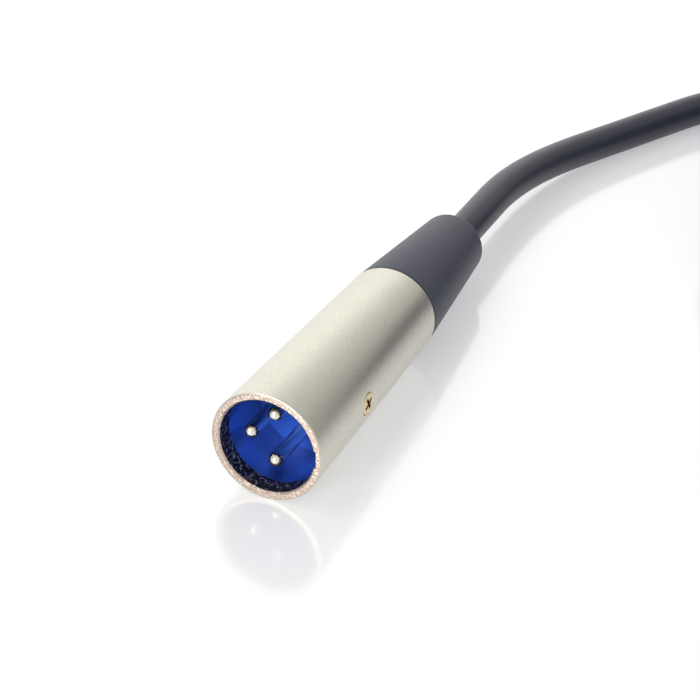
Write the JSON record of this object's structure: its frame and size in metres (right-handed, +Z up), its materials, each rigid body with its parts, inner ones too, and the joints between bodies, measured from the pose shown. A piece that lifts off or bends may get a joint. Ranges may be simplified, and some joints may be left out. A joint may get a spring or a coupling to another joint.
{
  "type": "xlr cable coil",
  "caption": "Balanced microphone lead: a tapered metal plug with pins in a deep well, a round cable laid in a tied coil, and a socket connector with a thumb latch.",
  "frame": {"origin": "centre of the male plug's bounding box at the table: under the plug, at the height of the table", "axes": "+Y along the male plug from its mouth to its cable, +Z up from the table, +X to the side of its retaining screw"},
  "size_m": [0.1233, 0.1753, 0.0264],
  "materials": {
    "shell": "satin nickel plate with a fine blasted grain",
    "insert": "blue moulded insulator, semi-gloss",
    "contacts": "bright silver plate",
    "screw": "bright nickel plate",
    "lug": "tinned strip",
    "sleeve": "translucent white insulating tube",
    "bare_wire": "tinned copper",
    "wire_hot": "red insulation",
    "wire_cold": "white insulation",
    "solder": "bright solder",
    "clamp": "natural moulded plastic",
    "jacket": "black flexible jacket, satin",
    "boot": "black moulded boot, satin",
    "latch": "black moulded lever",
    "latch_metal": "spring steel",
    "tie": "black hook-and-loop strap"
  },
  "bodies": {
    "lead": {"male_shell": "shell", "male_insert": "insert", "male_pin_1": "contacts", "male_pin_2": "contacts", "male_pin_3": "contacts", "male_retaining_screw": "screw", "male_ground_lug": "lug", "male_insulating_sleeve": "sleeve", "male_shield_drain": "bare_wire", "male_wire_hot": "wire_hot", "male_wire_cold": "wire_cold", "male_solder_joints": "solder", "male_cable_clamp": "clamp", "male_cable_stub": "jacket", "male_boot": "boot", "female_shell": "shell", "female_insert": "insert", "female_contact_1": "contacts", "female_contact_2": "contacts", "female_contact_3": "contacts", "female_retaining_screw": "screw", "female_ground_lug": "lug", "female_insulating_sleeve": "sleeve", "female_shield_drain": "bare_wire", "female_wire_hot": "wire_hot", "female_wire_cold": "wire_cold", "female_solder_joints": "solder", "female_cable_clamp": "clamp", "female_cable_stub": "jacket", "female_boot": "boot", "latch_pivot": "latch_metal", "latch_spring": "latch_metal", "cable_run": "jacket", "cable_coil": "jacket", "cable_tail": "jacket", "coil_tie": "tie"},
    "latch": {"latch_lever": "latch"}
  },
  "joints": [
    {"name": "latch_press", "type": "hinge", "parent": "lead", "child": "latch", "pos_m": [0.1043, -0.00656, 0.01431], "axis": [1, 0, 0], "range_deg": [0, 3.2], "stiffness_Nm_per_rad": 0.05, "springref_deg": -2.86, "deforming": ["latch_spring"]}
  ]
}
